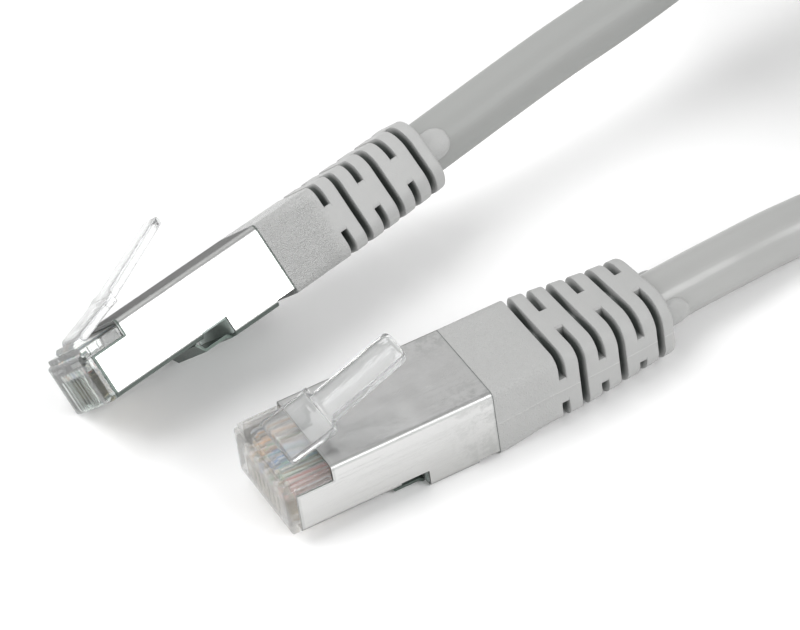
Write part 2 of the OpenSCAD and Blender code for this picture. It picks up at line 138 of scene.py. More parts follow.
class Plug:
    """Where one plug lies. Its lean is in degrees about x, y and z. Its flex gives how far its boot bends
    and towards what side, in degrees, and its lift how far the bent cable raises the boot's skin."""

    def __init__(self, end, lean, flex, lift):
        self.end, self.lean, self.lift = end, lean, lift
        self.turn = turned(lean)
        joint = next(j for j in frame["joints"] if j["name"] == f"latch_{end}_press")
        self.origin = np.array(joint["pos_m"]) / MM - self.turn @ HINGE
        self.flex, side = np.radians(flex[0]), np.radians(flex[1])
        self.flex_side = np.array([0, np.cos(side), np.sin(side)])
        self.flex_axis = np.cross([1, 0, 0], self.flex_side)

    def row(self, points):
        """Points of the plug's own frame, in the row's frame."""
        return np.asarray(points, float) @ self.turn.T + self.origin

    def flex_turn(self, s):
        """Angle by which the centre line has turned at s: it grows evenly from FLEX_X to the boot's end."""
        return self.flex * np.clip((s - FLEX_X) / (BOOT_END - FLEX_X), 0, 1)

    def flex_at(self, s):
        """Point of the flexed centre line: straight to the first slot, an arc, then straight again."""
        s = np.asarray(s, float)
        radius, a = (BOOT_END - FLEX_X) / self.flex, self.flex_turn(s)
        line = np.stack([np.minimum(s, FLEX_X) + radius * np.sin(a), 0 * s, 0 * s + MID_Z], -1)
        line = line + (radius * (1 - np.cos(a)))[..., None] * self.flex_side
        return line + np.maximum(s - BOOT_END, 0)[..., None] * self.flex_way(s)

    def flex_way(self, s):
        """Direction of the flexed centre line at s."""
        s = np.asarray(s, float)
        return spin(np.broadcast_to([1.0, 0, 0], s.shape + (3,)), self.flex_axis, self.flex_turn(s))


plug_a = Plug("a", lean=(-42.4, -4.4, 10.2), flex=(2, 90), lift=0)
plug_b = Plug("b", lean=(0, 0, 0), flex=(5.5, 0), lift=0.5)
plugs = (plug_a, plug_b)

# ---------- the cable's route ----------

# Where the jacket leaves the boot's tongues
JACKET_FREE = BOOT_END + TONGUE_L + 0.2
# Points that the centre line passes through between the boots and the coil, in metres
ROUTE_A = np.array([(0.0327, 0.0181, 0.0112), (0.0431, 0.0195, 0.0125), (0.0536, 0.0208, 0.0146),
                    (0.0641, 0.0219, 0.018), (0.0744, 0.0225, 0.021)])
ROUTE_B = np.array([(0.034, -0.0123, 0.0038), (0.0442, -0.0109, 0.0029), (0.0524, -0.0119, 0.0029),
                    (0.0599, -0.0153, 0.0029)])
COIL_CENTRE = (92.4, -6.3)
COIL_R = 29.4
COIL_RISE = CABLE_D + 0.6
COIL_FROM = -140
COIL_TURN = 1315
COIL_RAMP = 120
ROUTE_STEPS = 12
COIL_STEPS = 460


def ease(t):
    """A smooth step: three times t squared less twice t cubed."""
    return t * t * (3 - 2 * t)


def coil_way(q):
    """Direction of the coil at q, level and square to its radius."""
    a = np.radians(COIL_FROM + q * COIL_TURN)
    return np.stack([-np.sin(a), np.cos(a), 0 * a], -1)


def coil_at(q):
    """Point at q from 0 to 1 of turns stacked on one another: each climbs onto the one below in its last
    third of a turn."""
    angle = q * COIL_TURN
    turns = range(1, COIL_TURN // 360 + 1)
    climb = sum(ease(np.clip((angle - 360 * n) / COIL_RAMP + 1, 0, 1)) for n in turns)
    a = np.radians(COIL_FROM + angle)
    return np.stack([COIL_CENTRE[0] + COIL_R * np.cos(a), COIL_CENTRE[1] + COIL_R * np.sin(a),
                     CABLE_R + COIL_RISE * climb], -1)


def through(points, first, last, steps):
    """A smooth line through points: cubic pieces whose end directions are those between the neighbours."""
    ways = np.vstack([first, unit(points[2:] - points[:-2]), last])
    chord = np.linalg.norm(np.diff(points, axis=0), axis=1)[:, None, None]
    t = (np.arange(steps) / steps)[None, :, None]
    p, q, u, v = points[:-1, None], points[1:, None], ways[:-1, None] * chord, ways[1:, None] * chord
    line = ((2 * t**3 - 3 * t**2 + 1) * p + (t**3 - 2 * t**2 + t) * u
            + (3 * t**2 - 2 * t**3) * q + (t**3 - t**2) * v)
    return np.vstack([line.reshape(-1, 3), points[-1]])


def run(plug, route, coil_end, way):
    """One end of the cable, from the jacket's cut end in the plug to the coil."""
    stations = np.array([JACKET_X, FLEX_X, (FLEX_X + BOOT_END) / 2, BOOT_END, JACKET_FREE])
    points = np.vstack([plug.row(plug.flex_at(stations)), route / MM, coil_end])
    return through(points, plug.turn @ [1, 0, 0], way, ROUTE_STEPS)


def cable_line():
    """The whole centre line, from plug A's jacket end over the coil to plug B's."""
    zero, one = np.zeros(()), np.ones(())
    start, finish = coil_at(zero) - CABLE_D * coil_way(zero), coil_at(one) + CABLE_D * coil_way(one)
    run_a = run(plug_a, ROUTE_A, finish, -coil_way(one))
    run_b = run(plug_b, ROUTE_B, start, coil_way(zero))
    coil = coil_at(np.linspace(1, 0, COIL_STEPS))
    line = np.vstack([run_a, coil, run_b[::-1]])
    line[:, 2] = np.maximum(line[:, 2], CABLE_R)
    return line


# ---------- meshes from arrays of points ----------


def make_piece(name, points, faces, finish, uv=None, sharp=None, body="lead"):
    """A mesh from points in millimetres and groups of faces, riding on a body. Edges that turn by more
    than sharp degrees stay sharp."""
    mesh = bpy.data.meshes.new(name)
    faces = [np.asarray(f, np.int32) for f in faces]
    corners = np.concatenate([f.ravel() for f in faces])
    sizes = np.concatenate([np.full(len(f), f.shape[1], np.int32) for f in faces])
    mesh.vertices.add(len(points))
    mesh.vertices.foreach_set("co", (points * MM).astype(np.float32).ravel())
    mesh.loops.add(len(corners))
    mesh.loops.foreach_set("vertex_index", corners)
    mesh.polygons.add(len(sizes))
    mesh.polygons.foreach_set("loop_start", np.concatenate([[0], np.cumsum(sizes)[:-1]]).astype(np.int32))
    mesh.polygons.foreach_set("use_smooth", np.ones(len(sizes), bool))
    if uv is not None:
        layer = mesh.uv_layers.new(name="along")
        layer.data.foreach_set("uv", np.asarray(uv, np.float32)[corners].ravel())
    mesh.update(calc_edges=True)
    mesh.validate()
    if sharp:
        mesh.set_sharp_from_angle(angle=np.radians(sharp))
    mesh.materials.append(finish)
    piece = bpy.data.objects.new(name, mesh)
    bpy.context.collection.objects.link(piece)
    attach(piece, body)
    return piece


def loft_faces(rings, corners, first=0):
    """Quads between rings of equally many points, and a fan over each end ring."""
    i, k = np.meshgrid(np.arange(rings - 1), np.arange(corners), indexing="ij")
    a, b = i * corners + k, i * corners + (k + 1) % corners
    quads = np.stack([a, a + corners, b + corners, b], -1).reshape(-1, 4)
    k = np.arange(1, corners - 1)
    last = (rings - 1) * corners
    near, far = np.stack([0 * k, k, k + 1], -1), np.stack([0 * k, k + 1, k], -1) + last
    caps = np.vstack([near, far])
    return [quads + first, caps + first]


def tube_rings(line, radius, corners):
    """Rings square to a line, first point lowest, and (length, turn) for each point."""
    way = unit(np.gradient(line, axis=0))
    side = unit(np.cross(way, [0, 0, 1]))
    up = np.cross(side, way)
    a = 2 * np.pi * np.arange(corners) / corners - np.pi / 2
    rings = line[:, None] + radius * (np.cos(a)[:, None] * side[:, None] + np.sin(a)[:, None] * up[:, None])
    length = np.concatenate([[0], np.cumsum(np.linalg.norm(np.diff(line, axis=0), axis=1))])
    uv = np.stack(np.broadcast_arrays(length[:, None], (a / (2 * np.pi))[None]), -1)
    return rings, uv


def make_tube(name, line, radius, corners, finish):
    """A round tube: circles square to a line, with a fan over each end."""
    rings, uv = tube_rings(line, radius, corners)
    faces = loft_faces(len(line), corners)
    return make_piece(name, rings.reshape(-1, 3), faces, finish, uv.reshape(-1, 2), sharp=60)


# ---------- finishes ----------


class Signal:
    """A socket of a node tree, on which sums are written: each operator adds a Math node."""

    def __init__(self, nodes, socket):
        self.nodes, self.socket = nodes, socket

    def maths(self, operation, *values):
        """A Math node on the values, in the order of its sockets."""
        return self.nodes.node("ShaderNodeMath", {"operation": operation}, dict(enumerate(values)))

    def __add__(self, other):
        return self.maths("ADD", self, other)

    def __radd__(self, other):
        return self.maths("ADD", other, self)

    def __sub__(self, other):
        return self.maths("SUBTRACT", self, other)

    def __rsub__(self, other):
        return self.maths("SUBTRACT", other, self)

    def __mul__(self, other):
        return self.maths("MULTIPLY", self, other)

    def __rmul__(self, other):
        return self.maths("MULTIPLY", other, self)

    def __abs__(self):
        return self.maths("ABSOLUTE", self)

    def most(self, other):
        """The larger of the two."""
        return self.maths("MAXIMUM", self, other)

    def fraction(self):
        """What is left over past the whole number below."""
        return self.maths("FRACT", self)

    def rise(self, low, high):
        """0 below low, 1 above high, and a smooth rise between; low may be the larger."""
        return self.nodes.node("ShaderNodeMapRange", {"interpolation_type": "SMOOTHSTEP"},
                               {"Value": self, "From Min": low, "From Max": high})

    def near(self, middle, half, soft):
        """1 within half of the middle value, falling to 0 over soft."""
        return abs(self - middle).rise(half + soft, half)


class Nodes:
    """The node tree of a material or a world, all of whose nodes come from one method."""

    def __init__(self, owner):
        owner.use_nodes = True
        self.tree = owner.node_tree

    def node(self, kind, settings=None, sockets=None, out=0):
        """One node: its settings come first, then the values or links of its sockets."""
        made = self.tree.nodes.new(kind)
        for name, value in (settings or {}).items():
            setattr(made, name, value)
        for name, value in (sockets or {}).items():
            self.feed(made.inputs[name], value)
        return Signal(self, made.outputs[out])

    def feed(self, socket, value):
        """Links a signal to a socket, or sets the socket to a number, a vector or a colour."""
        if isinstance(value, Signal):
            self.tree.links.new(value.socket, socket)
        elif socket.type == "RGBA":
            socket.default_value = (*value, 1)
        else:
            socket.default_value = value

    def parts(self, vector):
        """The x, y and z of a vector."""
        return [self.node("ShaderNodeSeparateXYZ", None, {"Vector": vector}, out=k) for k in range(3)]


class Finish(Nodes):
    """A material: its shader's constants, and the signals that change over its surface."""

    def __init__(self, name, **constants):
        self.material = bpy.data.materials.new(name)
        super().__init__(self.material)
        self.shader = self.tree.nodes["Principled BSDF"]
        for socket, value in constants.items():
            self.shader.inputs[socket.replace("_", " ")].default_value = value

    def surface(self, **signals):
        """Feeds the shader's sockets, each named with _ for a space."""
        for socket, value in signals.items():
            self.feed(self.shader.inputs[socket.replace("_", " ")], value)

    def place(self, plug=None):
        """Millimetres in the row's frame, or in a plug's own."""
        point = self.node("ShaderNodeTexCoord", out="Object")
        origin = (0, 0, 0) if plug is None else tuple(plug.origin * MM)
        lean = (0, 0, 0) if plug is None else tuple(np.radians(plug.lean))
        return self.node("ShaderNodeMapping", {"vector_type": "TEXTURE"},
                         {"Vector": point, "Location": origin, "Rotation": lean, "Scale": (MM, MM, MM)})

    def along(self):
        """The piece's own map. On a tube it is the length along it and the turn round it, from -0.25 at the
        bottom to 0.75, and on a boot the depth below its skin and the height from its middle."""
        return self.node("ShaderNodeUVMap", {"uv_map": "along"})

    def stretch(self, vector, factors):
        """A vector with each part multiplied by its own factor."""
        return self.node("ShaderNodeVectorMath", {"operation": "MULTIPLY"}, {0: vector, 1: factors})

    def noise(self, vector, size, detail=3, rough=0.5):
        """Noise from 0 to 1 whose lumps are about size across."""
        return self.node("ShaderNodeTexNoise", None,
                         {"Vector": vector, "Scale": 1 / size, "Detail": detail, "Roughness": rough})

    def cells(self, vector, size, feature="F1"):
        """Distance from the middle, or from the edge, of cells that are about size across."""
        return self.node("ShaderNodeTexVoronoi", {"feature": feature},
                         {"Vector": vector, "Scale": 1 / size})

    def mix(self, share, first, second):
        """A colour that goes from the first to the second as share goes from 0 to 1."""
        return self.node("ShaderNodeMix", {"data_type": "RGBA"}, {0: share, 6: first, 7: second}, out=2)

    def bump(self, height, depth, below=None):
        """Normals of a surface raised by height times depth, in millimetres."""
        sockets = {"Height": height, "Distance": depth * MM, "Strength": 1.0}
        if below is not None:
            sockets["Normal"] = below
        return self.node("ShaderNodeBump", None, sockets)


# Length of jacket, from plug A, over which its rougher finish and its painted shade fade
DULL_AND_SHADE_FADES = (300, 200)


def lead_jacket():
    """Smooth extruded jacket: faint drawing lines along it, slow ripples and a fine skin."""
    f = Finish("lead_jacket", Specular_IOR_Level=0.5)
    uv = f.along()
    length, _, _ = f.parts(uv)
    skin = f.place()
    drawn = f.noise(f.stretch(uv, (0.02, 60, 1)), size=1, detail=2)
    grain = f.noise(skin, size=0.12, detail=3, rough=0.6)
    cloud = f.noise(skin, size=9, detail=2)
    smudge = f.noise(f.stretch(uv, (0.12, 5, 1)), size=1, detail=3)
    # Near plug A the jacket is rougher, and its colour is darkened as painted shade
    dull_and_shaded = length.rise(*DULL_AND_SHADE_FADES)
    skin_tone = f.mix(cloud * 0.6 + smudge * 0.4, (0.335, 0.337, 0.33), (0.375, 0.377, 0.37))
    f.surface(Base_Color=f.mix(dull_and_shaded, skin_tone, (0.315, 0.32, 0.312)),
              Roughness=smudge * 0.1 + grain * 0.05 + dull_and_shaded * 0.2 + 0.23,
              Normal=f.bump(grain, 0.006, f.bump(drawn, 0.012, f.bump(cloud, 0.25))))
    return f.material


def boot_rubber(plug, glitter_and_painted_light):
    """Moulded soft plastic: an eroded skin, painted shade deep in its slots and on its front face against
    the shield, a parting line at mid height.
    """
    f = Finish(f"boot_rubber_{plug.end}", Specular_IOR_Level=0.3 + 0.4 * glitter_and_painted_light)
    p = f.place(plug)
    x, _, _ = f.parts(p)
    depth, height, _ = f.parts(f.along())
    grain = f.cells(p, size=0.16)
    fine = f.noise(p, size=0.07, detail=4, rough=0.65)
    cloud = f.noise(p, size=3.5, detail=3)
    block = x.rise(FIRST_SLOT + 0.5, FIRST_SLOT - 1.5)
    # Painted light: the skin is made paler by the glitter share, and its front block paler still
    dark, light = np.array([(0.345, 0.347, 0.342), (0.39, 0.392, 0.387)]) + 0.045 * glitter_and_painted_light
    skin = f.mix(cloud * 0.7 + fine * 0.3 + block * glitter_and_painted_light * 0.8, dark, light)
    parting = height.near(0, 0.04, 0.05) * (1 - depth.rise(0, 0.2))
    lined = f.mix(parting * (0.6 - glitter_and_painted_light * 0.6), skin, (0.55, 0.55, 0.54))
    # Painted shade: the skin turns dark green with depth into the slots, and on the front face where it
    # meets the shield
    hollow = depth.rise(0.08, 1.1).most(x.rise(SHIELD_END + 0.14, SHIELD_END + 0.06) * 0.8)
    f.surface(Base_Color=f.mix(hollow * 0.8, lined, (0.042, 0.056, 0.05)),
              Roughness=fine * 0.12 + 0.47 - block * glitter_and_painted_light * 0.25,
              Normal=f.bump(fine, 0.01, f.bump(grain * (block * glitter_and_painted_light * 2 + 0.3), 0.06)))
    return f.material


# Middle and half length of the relief in front of the shield's step, and half the breadth of the
# sheet's bare edges
RELIEF_X = STEP_X - 1.75
RELIEF_HALF = 1.7
RIM_HALF, RIM_SOFT = 0.1, 0.06


def satin_nickel(plug, rim_shade):
    """Plated sheet: short brushed lines along it, faint clouds, painted dark reflections in patches near
    the rear corners and along the top bends, a few fine scratches.
    The relief in its underside is painted dark as shade, and so are its bare edges, by the share that is
    passed in."""
    # Painted dark reflection: the edge tint is darkened by the rim share, most of all on plug A
    f = Finish(f"satin_nickel_{plug.end}", Specular_Tint=(0.28 - 0.26 * rim_shade,) * 3 + (1,))
    p = f.place(plug)
    x, y, z = f.parts(p)
    brushed = f.noise(f.stretch(p, (0.5, 6, 6)), size=1, detail=4, rough=0.7)
    speck = f.noise(p, size=0.18, detail=3, rough=0.6)
    cloud = f.noise(p, size=2.2, detail=4, rough=0.6)
    scratch = f.noise(f.stretch(p, (0.05, 4, 4)), size=1, detail=0).near(0.5, 0.004, 0.006)
    half_w = SHIELD_W / 2
    # Painted reflection: dark patches near the rear corners, and a dark band along the top bends, stand for
    # dark surroundings mirrored there
    corner = x.rise(15, 22) * (abs(y).rise(1.5, 5) + z.rise(6, 8) * 0.3)
    painted_reflection_patches = corner * f.noise(p, size=0.9, detail=4, rough=0.7).rise(0.42, 0.62)
    side = abs(y).rise(half_w - 0.25, half_w - 0.05)
    top = f.mix(cloud.rise(0.35, 0.7), (0.63, 0.63, 0.625), (0.665, 0.665, 0.66))
    # Painted shade: the sides are darker towards the bottom
    plate = f.mix(side, top, f.mix(z.rise(1, 8), (0.59, 0.59, 0.58), (0.67, 0.67, 0.665)))
    bend = abs(y).rise(half_w - 0.55, half_w - 0.35) * z.rise(SHIELD_H - 0.6, SHIELD_H - 0.4)
    painted_dark_reflections = f.mix((painted_reflection_patches * 0.35).most(bend * 0.5), plate, (0.38, 0.39, 0.38))
    low = z.rise(FRONT_RISE + 0.5, FRONT_RISE + 0.3)
    foot = (low * x.rise(STEP_X + 0.05, STEP_X - 0.05)).most(z.rise(0.5, 0.35))
    front = x.rise(SHIELD_FRONT + 0.35, SHIELD_FRONT + 0.2)
    rear = x.rise(SHIELD_END - 0.18, SHIELD_END - 0.08)
    notch = x.near(TOP_EDGE_X + 0.15, RIM_HALF, RIM_SOFT) * z.rise(NOTCH_Z - 0.15, NOTCH_Z - 0.05)
    sill = z.near(NOTCH_Z - 0.1, RIM_HALF, RIM_SOFT) * x.rise(TOP_EDGE_X + 0.25, TOP_EDGE_X + 0.15)
    rim = foot.most(front).most(rear).most(notch).most(sill)
    # Painted shade: the relief behind the step and the bare edges go a dark, dull green
    dark = (x.near(RELIEF_X, RELIEF_HALF, 0.1) * low).most(rim * rim_shade)
    brushing = f.bump(brushed, 0.004, f.bump(speck, 0.005, f.bump(cloud, 0.008, f.bump(scratch, -0.01))))
    f.surface(Base_Color=f.mix(dark, painted_dark_reflections, (0.10, 0.125, 0.112)), Metallic=1 - dark * 0.8,
              Roughness=brushed * 0.08 + cloud * 0.04 + speck * 0.1 + bend * 0.12 + 0.2, Normal=brushing)
    return f.material


def clear_plastic(plug, name, murk, solid, tone):
    """Polished moulded polycarbonate with flow lines and a slight haze. Murk is the share of light that
    it doesn't pass, and solid its opacity. Behind the shield's relief it is a pale dull mirror, which
    stands for the lit hollow inside."""
    f = Finish(f"{name}_{plug.end}", Transmission_Weight=1 - murk, IOR=1.54, Specular_IOR_Level=0.5)
    p = f.place(plug)
    x, _, z = f.parts(p)
    hollow = x.near(RELIEF_X + 0.2, RELIEF_HALF - 0.1, 0.1) * z.rise(FRONT_RISE + 1.1, FRONT_RISE + 0.9)
    flow = f.noise(f.stretch(p, (0.5, 1.5, 1)), size=1.5, detail=2)
    haze = f.noise(p, size=0.6, detail=3)
    clear = f.mix(haze, 0.95 * np.array(tone), tone)
    f.surface(Base_Color=f.mix(hollow, clear, (0.84, 0.91, 0.88)),
              Metallic=hollow, Roughness=haze * 0.05 + hollow * 0.6 + 0.02, Alpha=haze * 0.1 + solid,
              Normal=f.bump(flow, 0.02, f.bump(haze, 0.004)))
    return f.material


def gold_plate(plug):
    """Pale gold on the contact blades, with rolled lines along them."""
    f = Finish(f"gold_plate_{plug.end}", Metallic=1.0)
    p = f.place(plug)
    rolled = f.noise(f.stretch(p, (0.4, 6, 6)), size=0.4, detail=3)
    cloud = f.noise(p, size=0.8, detail=2)
    f.surface(Base_Color=f.mix(cloud, (0.86, 0.70, 0.44), (0.93, 0.80, 0.56)),
              Roughness=rolled * 0.2 + 0.15, Normal=f.bump(rolled, 0.004))
    return f.material


def guide_plastic(plug):
    """Frosted clear plastic, a little cloudy."""
    f = Finish(f"guide_plastic_{plug.end}", Transmission_Weight=0.5, IOR=1.5)
    p = f.place(plug)
    cloud = f.noise(p, size=0.7, detail=3)
    f.surface(Base_Color=f.mix(cloud, (0.80, 0.80, 0.76), (0.90, 0.90, 0.87)),
              Roughness=cloud * 0.1 + 0.25, Normal=f.bump(cloud, 0.02))
    return f.material


def crinkled_foil(plug):
    """Bright foil creased into small facets."""
    f = Finish(f"crinkled_foil_{plug.end}", Metallic=1.0)
    p = f.place(plug)
    crease = f.cells(f.stretch(p, (0.5, 1, 1)), size=0.6, feature="DISTANCE_TO_EDGE")
    cloud = f.noise(p, size=1, detail=3)
    f.surface(Base_Color=f.mix(cloud, (0.78, 0.79, 0.80), (0.88, 0.88, 0.88)),
              Roughness=cloud * 0.15 + 0.2, Normal=f.bump(crease, 0.05))
    return f.material


def tinned_copper(plug):
    """Bare tinned wire, dull in short streaks along it."""
    f = Finish(f"tinned_copper_{plug.end}", Metallic=1.0)
    p = f.place(plug)
    dull = f.noise(f.stretch(p, (0.3, 2, 2)), size=0.4, detail=3)
    f.surface(Base_Color=f.mix(dull, (0.62, 0.58, 0.52), (0.80, 0.77, 0.72)),
              Roughness=dull * 0.2 + 0.25, Normal=f.bump(dull, 0.01))
    return f.material


WIRE_COLOURS = {"orange": (0.80, 0.45, 0.20), "green": (0.14, 0.42, 0.26),
                "blue": (0.16, 0.32, 0.62), "brown": (0.40, 0.10, 0.07)}
WIRE_ORDER = ("white_orange", "orange", "white_green", "blue",
              "white_blue", "green", "white_brown", "brown")
WIRE_WHITE = (0.88, 0.87, 0.84)
# Stripes round a wire and stripes passed in a millimetre along it, and half the breadth of each
STRIPES_ROUND, STRIPES_ALONG = 2, 0.04
STRIPE_HALF, STRIPE_SOFT = 0.11, 0.03


def wire_insulation(kind):
    """Glossy polyethylene; a striped one is white with lines that wind slowly round it."""
    f = Finish(f"insulation_{kind}", Specular_IOR_Level=0.5)
    uv = f.along()
    length, turn, _ = f.parts(uv)
    cloud = f.noise(f.stretch(uv, (1, 4, 1)), size=1, detail=2)
    colour = WIRE_COLOURS[kind.split("_")[-1]]
    paint = f.mix(cloud, 0.82 * np.array(colour), colour)
    if kind.startswith("white"):
        winding = (length * STRIPES_ALONG + turn * STRIPES_ROUND).fraction()
        paint = f.mix(winding.near(0.5, STRIPE_HALF, STRIPE_SOFT), WIRE_WHITE, paint)
    f.surface(Base_Color=paint, Roughness=cloud * 0.1 + 0.3, Normal=f.bump(cloud, 0.01))
    return f.material


# ---------- how the two plugs differ ----------

# How glittering the boot's skin is, from 0 to 1, which also paints it paler as painted light, and how far
# its parting line stands out
GLITTER_AND_PAINTED_LIGHT = {"a": 1.0, "b": 0.35}
RIDGE = {"a": 0, "b": 0.04}
# How dark the shield's bare edges are painted as shade, from 0 to 1; it also darkens the metal's edge tint,
# as a painted dark reflection
RIM_SHADE = {"a": 0.95, "b": 0.15}
# Murk, opacity and tone of the clear body and of the latch. Their tones, and plug B's higher murk, differ
# between the plugs as painted light and shade: darker on plug A, paler on plug B
BODY_LOOK = {"a": (0.05, 0.9, (0.84, 0.88, 0.86)), "b": (0.2, 0.55, (0.97, 0.97, 0.96))}
LATCH_MURK, LATCH_OPACITY = 0.08, 0.9
LATCH_TONE = {"a": (0.76, 0.77, 0.77), "b": (0.86, 0.87, 0.87)}

# ---------- the cable ----------

JACKET_CORNERS = 40

jacket_line = cable_line()
jacket = make_tube("jacket", jacket_line, CABLE_R, JACKET_CORNERS, lead_jacket())
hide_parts("cable_run_a", "cable_run_b", "cable_coil")
jacket_exit = plug_a.row(plug_a.flex_at(np.array(BOOT_END)))
tuple(jacket_exit * MM)

# ---------- the boots ----------

# Width of the bridge that a side slot leaves along the top and bottom, and height of the bridge that a
# top slot leaves along each side
TOP_BRIDGE = 3.2
SIDE_BRIDGE = 3
# Heights of the lines along each side bridge, breadths of those along each top bridge, and the count
# between them, of which the share FLAT_LINES lies on the flat at either end
SIDE_LINES = np.array([0, 0.07, 0.5, 0.95, 1.2])
TOP_LINES = np.array([1.4, 0.95, 0.5, 0])
MIDDLE_LINES = 16
FLAT_LINES = 0.2
LEAST_FLAT = 0.06
# How much the corners' radius grows by the first slot, and again by the end
FRONT_ROUNDING = 0.8
REAR_ROUNDING = 1.4
# Slots: the first one's middle, their spacing and width, and their rounded rims and sloping walls
CUT_FROM = FIRST_SLOT + 0.55
CUT_PITCH = 2.22
CUT_W = 0.8
RIM_R = 0.1
RIM_STEPS = np.radians((0, 30, 60, 90))
DRAFT = 0.05
# Rounded edges of the boot's front and end
FRONT_R = 0.12
END_R = 0.45
END_STEPS = np.radians((0, 18, 36, 54, 72, 90))
# The bore's wider room over the crimp
CRIMP_ROOM_R = 3.45
CRIMP_ROOM_END = SHIELD_END + 5.5
# Lines over the plain block in front of the slots, and along the bore
BLOCK_X = np.linspace(SHIELD_END + 0.8, FLEX_X - 0.6, 8)
BORE_X = np.linspace(BOOT_END - 0.4, CRIMP_ROOM_END + 0.1, 12)
# Kinds of floor, and the sinks that reach one whatever its depth: the plain bore's or its wider room's
BORE, TOP_SLOT, SIDE_SLOT = 0, 1, 2
TO_FLOOR, TO_ROOM = 99, 100
# The skin that the bent cable lifts: it rises over a length, loses a share of its lift by the end of
# the boot, and reaches down to a depth
LIFT_LENGTH = 7
LIFT_LOST = 0.6
LIFT_DEPTH = 0.4


def rearward(s):
    """0 up to the first slot, rising evenly to 1 at the boot's end."""
    return np.clip((s - FIRST_SLOT) / (BOOT_END - FIRST_SLOT), 0, 1)


def boot_size(s):
    """Half width, half height and corner radius of the boot's section at s: the width narrows evenly
    behind the first slot, and the radius grows in two smooth steps."""
    rear, front = rearward(s), np.clip((s - SHIELD_END) / SLOT_START, 0, 1)
    radius = BEND_R + FRONT_ROUNDING * ease(front) + REAR_ROUNDING * ease(rear)
    return (SHIELD_W * (1 - rear) + COLLAR_W * rear) / 2, MID_Z + 0 * s, radius


def boot_quarter(s, ridge):
    """Points (y, z) of one quarter of a rounded rectangle, from mid height to the middle of the top: by
    height up to the side bridge, by arc length to the top bridge, then by breadth."""
    half, high, r = (v[:, None] for v in boot_size(s))
    low_z, low_y = high - r, half - r
    z1 = np.append(SIDE_LINES, SIDE_BRIDGE / 2)[None]
    y1 = low_y + np.sqrt(r**2 - np.maximum(z1 - low_z, 0)**2) + ridge * (z1 == 0)
    y3 = np.insert(TOP_LINES, 0, TOP_BRIDGE / 2)[None]
    z3 = low_z + np.sqrt(r**2 - np.maximum(y3 - low_y, 0)**2)
    start = np.arcsin(np.maximum(SIDE_BRIDGE / 2 - low_z, 0) / r)
    stop = np.pi / 2 - np.arcsin(np.maximum(TOP_BRIDGE / 2 - low_y, 0) / r)
    side, arc = np.maximum(low_z - SIDE_BRIDGE / 2, 0), r * (stop - start)
    whole = side + arc + np.maximum(low_y - TOP_BRIDGE / 2, 0)
    first = np.maximum(side / whole, LEAST_FLAT)
    last = np.minimum((side + arc) / whole, 1 - LEAST_FLAT)
    k = np.linspace(0, 1, MIDDLE_LINES + 2)[None, 1:-1]
    on_arc = first + (k - FLAT_LINES) / (1 - 2 * FLAT_LINES) * (last - first)
    on_top = last + (k - 1 + FLAT_LINES) / FLAT_LINES * (1 - last)
    share = np.where(k < FLAT_LINES, k / FLAT_LINES * first, np.where(k > 1 - FLAT_LINES, on_top, on_arc))
    reach = share * whole
    a = np.clip(start + (reach - side) / r, start, stop)
    y2 = low_y + r * np.cos(a) - np.maximum(reach - side - arc, 0)
    z2 = low_z + r * np.sin(a) - np.maximum(side - reach, 0)
    z1, y3 = np.broadcast_to(z1, y1.shape), np.broadcast_to(y3, z3.shape)
    return np.stack([np.hstack([y1, y2, y3]), np.hstack([z1, z2, z3])], -1)


def round_whole(quarter):
    """The quarter's points mirrored into a whole ring, clockwise seen along the boot."""
    back = quarter[:, -2:0:-1]
    return np.concatenate([quarter, back * [-1, 1], -quarter, back * [1, -1]], 1)[:, ::-1]


def bored(outer, radius):
    """Ring of a bore, one point for each of the outer ring's, in the same directions."""
    return radius * unit(outer)


def slotted(quarter, top):
    """Floor of a slot: the sleeve's circle, with the bridge that the slot leaves at the sides or top."""
    sides, last = len(SIDE_LINES), quarter.shape[1] - 1
    floor = quarter.copy()
    if top:
        cut = np.arange(sides + 1, last + 1)
        low = np.arcsin(SIDE_BRIDGE / 2 / SLEEVE_R)
        a = low + (np.pi / 2 - low) * (cut - cut[0]) / (last - cut[0])
        floor[:, sides, 0] -= RIM_R
    else:
        cut = np.arange(0, last - len(TOP_LINES))
        a = np.arccos(TOP_BRIDGE / 2 / SLEEVE_R) * cut / cut[-1]
        floor[:, last - len(TOP_LINES), 1] -= RIM_R
    floor[:, cut] = SLEEVE_R * np.stack([np.cos(a), np.sin(a)], -1)
    return floor


def boot_stations():
    """Stations along the boot and back through its bore: distance, how far the surface has sunk there,
    and towards which kind of floor. Rims and edges are quarter circles."""
    back, sink = RIM_R * np.sin(RIM_STEPS) - RIM_R, RIM_R * (1 - np.cos(RIM_STEPS))
    rows = [(SHIELD_END + FRONT_R * (1 - np.cos(a)), FRONT_R * (1 - np.sin(a)), BORE) for a in RIM_STEPS]
    rows += [(s, 0, BORE) for s in BLOCK_X]
    for n in range(SLOT_COUNT):
        start, kind = CUT_FROM + n * CUT_PITCH - CUT_W / 2, (TOP_SLOT, SIDE_SLOT)[n % 2]
        rows += [(start + b, d, kind) for b, d in zip(back, sink)]
        rows += [(start + x, TO_FLOOR, kind) for x in (DRAFT, CUT_W / 2, CUT_W - DRAFT)]
        rows += [(start + CUT_W - b, d, kind) for b, d in zip(back[::-1], sink[::-1])]
    rows += [(BOOT_END - END_R * (1 - np.sin(a)), END_R * (1 - np.cos(a)), BORE) for a in END_STEPS]
    rows += [(s, TO_FLOOR, BORE) for s in (BOOT_END, *BORE_X)]
    rows += [(s, TO_ROOM, BORE) for s in (CRIMP_ROOM_END, SHIELD_END)]
    return np.array(rows).T


